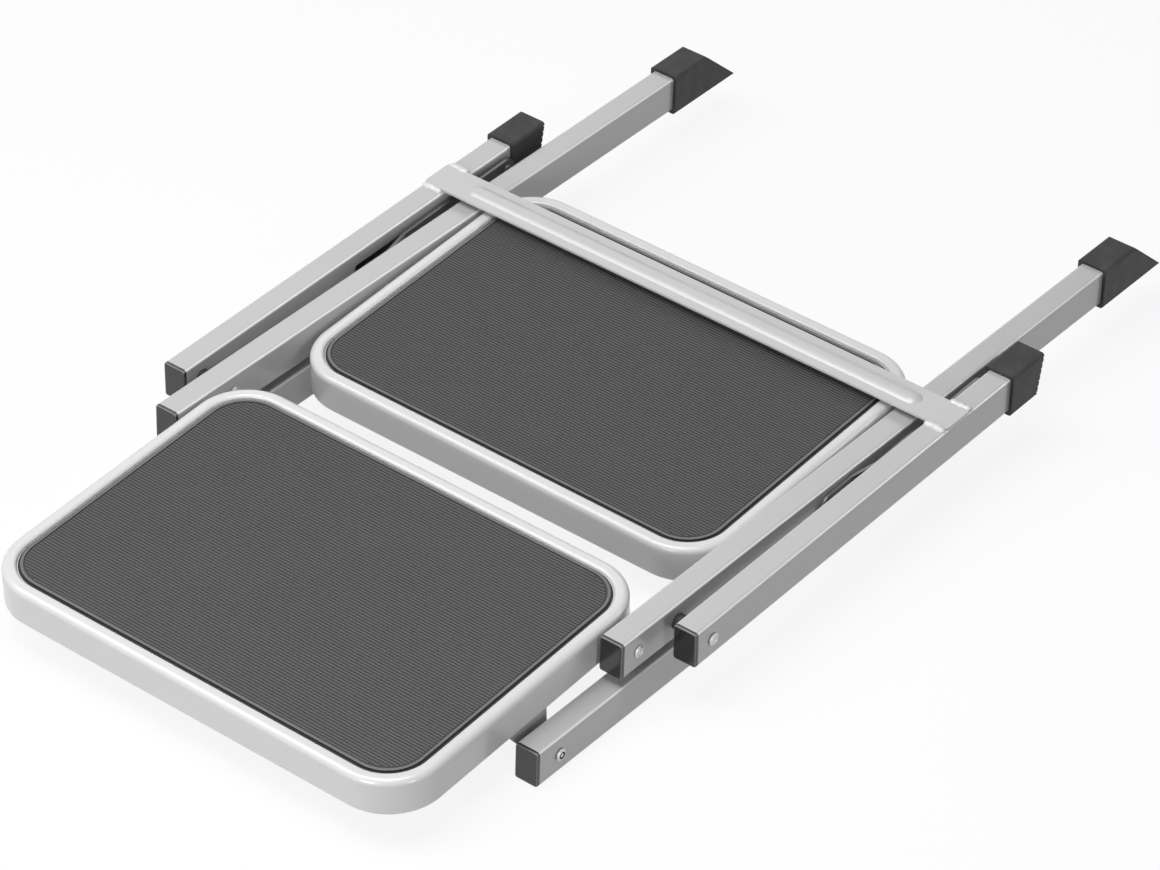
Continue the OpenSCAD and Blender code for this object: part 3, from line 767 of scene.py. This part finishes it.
# %% [markdown]
# A rivet's length follows from what it holds. A step's rivet runs from the bracket in
# its skirt out through the front leg, and a link's from the bracket out through the
# link tube. The other two start on the front leg's inner face. One runs out through
# the rear leg, and one through the stay.

# %% Make the rivets, with what they hold in millimetres
RUN_GAP = 0.3
BRACKET = 2.5
SHEET = 1.5
STAY = 2.5

tread_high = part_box("top_step_tray")[1]
front_low, front_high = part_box("front_leg_right")
BRACKET_IN = tread_high[0] / MM - SHEET - BRACKET
FRONT_IN = front_low[0] / MM
FRONT_OUT = front_high[0] / MM
REAR_OUT = rear_high[0] / MM
print("front leg from x =", round(FRONT_IN, 1), "to", round(FRONT_OUT, 1), "mm, rear leg out to",
      round(REAR_OUT, 1))

make_rivets("top_step_rivets", "root", BRACKET_IN - RUN_GAP, FRONT_OUT, PLAIN_RING)
make_rivets("lower_step_rivets", "root", BRACKET_IN - RUN_GAP, FRONT_OUT, PLAIN_RING)
make_rivets("rear_leg_rivets", "root", FRONT_IN, REAR_OUT + RUN_GAP, PLAIN_RING)
make_rivets("stay_rivets", "root", FRONT_IN, FRONT_OUT + 2 * RUN_GAP + STAY, PLAIN_RING)
make_rivets("top_link_rivets", "top_step", BRACKET_IN, FRONT_OUT + RUN_GAP, DEEP_RING)
make_rivets("lower_link_rivets", "lower_step", BRACKET_IN, FRONT_OUT + RUN_GAP, DEEP_RING)

# %% [markdown]
# ## The studio
#
# The photograph is a cut-out on plain white. A large pale floor takes a soft shadow,
# and rays from the camera, and those that mirror or pass through, also see it lit by
# itself, so that it reads as white. For the light itself the paper is a mid grey,
# and throws back enough to fill the sides of the tubes from below. The gaps between
# the tubes get none of that, and stay dark, as in the picture.

# %% Rays that see the studio as white
def rays_that_see(tree):
    """1 for rays from the camera and for those that mirror or pass through, and 0 for the rest."""
    path = add_node(tree, "ShaderNodeLightPath")
    mirrored = add_node(tree, "ShaderNodeMath", {"operation": "MAXIMUM"},
                        {0: path.outputs["Is Camera Ray"], 1: path.outputs["Is Glossy Ray"]})
    every = add_node(tree, "ShaderNodeMath", {"operation": "MAXIMUM"},
                     {0: mirrored.outputs[0], 1: path.outputs["Is Transmission Ray"]})
    return every.outputs[0]


# %% Floor
FLOOR_HALF_M = 6.0
FLOOR_DROP = 0.5
OWN_LIGHT_SHARE = 0.88


def studio_paper():
    material = bpy.data.materials.new("studio_paper")
    material.use_nodes = True
    tree = material.node_tree
    tree.nodes.clear()
    output = add_node(tree, "ShaderNodeOutputMaterial")
    white = add_node(tree, "ShaderNodeEmission", {"Color": (1, 1, 1, 1), "Strength": 1.0})
    seen = rays_that_see(tree)
    grey = add_node(tree, "ShaderNodeMix",
                    {"data_type": "RGBA", 6: linear("#A8A8A8"), 7: linear("#FAFAFA")}, {0: seen})
    paper = add_node(tree, "ShaderNodeBsdfDiffuse", {}, {"Color": grey.outputs[2]})
    share = add_node(tree, "ShaderNodeMath", {"operation": "MULTIPLY", 1: OWN_LIGHT_SHARE}, {0: seen})
    mixed = add_node(tree, "ShaderNodeMixShader", {},
                     {0: share.outputs[0], 1: paper.outputs[0], 2: white.outputs[0]})
    tree.links.new(mixed.outputs[0], output.inputs["Surface"])
    return material


def studio_floor():
    mesh = bmesh.new()
    bmesh.ops.create_grid(mesh, x_segments=1, y_segments=1, size=FLOOR_HALF_M)
    bmesh.ops.translate(mesh, vec=(0, 0, -FLOOR_DROP * MM), verts=mesh.verts)
    data = bpy.data.meshes.new("studio_floor")
    mesh.to_mesh(data)
    mesh.free()
    data.materials.append(studio_paper())
    floor = bpy.data.objects.new("studio_floor", data)
    bpy.context.scene.collection.objects.link(floor)
    return floor


studio_floor()
print("floor", 2 * FLOOR_HALF_M, "m wide")

# %% [markdown]
# The world is white to the same rays as the floor, and nearly dark to the rest, so
# that the lamps alone model the shapes.

# %% World
WORLD_DIM = 0.02

world = bpy.data.worlds.new("studio")
bpy.context.scene.world = world
world.use_nodes = True
tree = world.node_tree
tree.nodes.clear()
output = add_node(tree, "ShaderNodeOutputWorld")
dim = add_node(tree, "ShaderNodeBackground", {"Color": (1, 1, 1, 1), "Strength": WORLD_DIM})
white = add_node(tree, "ShaderNodeBackground", {"Color": (1, 1, 1, 1), "Strength": 1.0})
mixed = add_node(tree, "ShaderNodeMixShader", {},
                 {0: rays_that_see(tree), 1: dim.outputs[0], 2: white.outputs[0]})
tree.links.new(mixed.outputs[0], output.inputs["Surface"])
print("world strength for the light:", WORLD_DIM)

# %% [markdown]
# Six softboxes light the stool. The overhead one gives the treads and the tops of
# the tubes their tone. The one at the front left is mirrored in the strip's rib and in
# the rolled rims. The low front one lights the top step's skirt, and throws that
# step's shadow on the skirt behind it. The side and back ones are weak. The small one
# stands where the tubes' rounded edges mirror it, and draws a fine line along them.

# %% Softboxes: direction from the stool, distance in m, width in m, power in W
SOFTBOXES = {
    "overhead_softbox": ((-0.05, -0.25, 0.97), 2.0, 1.2, 24),
    "front_left_softbox": ((-0.50, -0.45, 0.74), 3.0, 1.6, 29),
    "low_front_softbox": ((0.10, -0.95, 0.28), 3.0, 0.8, 31),
    "side_softbox": ((0.90, -0.35, 0.17), 3.0, 0.6, 12),
    "back_softbox": ((-0.55, 0.60, 0.58), 3.0, 1.4, 4),
    "edge_softbox": ((0.60, 0.64, 0.49), 3.0, 0.4, 7),
}


def softbox(name, towards, distance, width, power):
    lamp = bpy.data.lights.new(name, "AREA")
    lamp.shape = "SQUARE"
    lamp.size = width
    lamp.energy = power
    stand = bpy.data.objects.new(name, lamp)
    bpy.context.scene.collection.objects.link(stand)
    direction = Vector(towards).normalized()
    stand.location = direction * distance
    stand.rotation_euler = direction.to_track_quat("Z", "Y").to_euler()


for name, place_and_power in SOFTBOXES.items():
    softbox(name, *place_and_power)
print("softboxes:", len(SOFTBOXES))
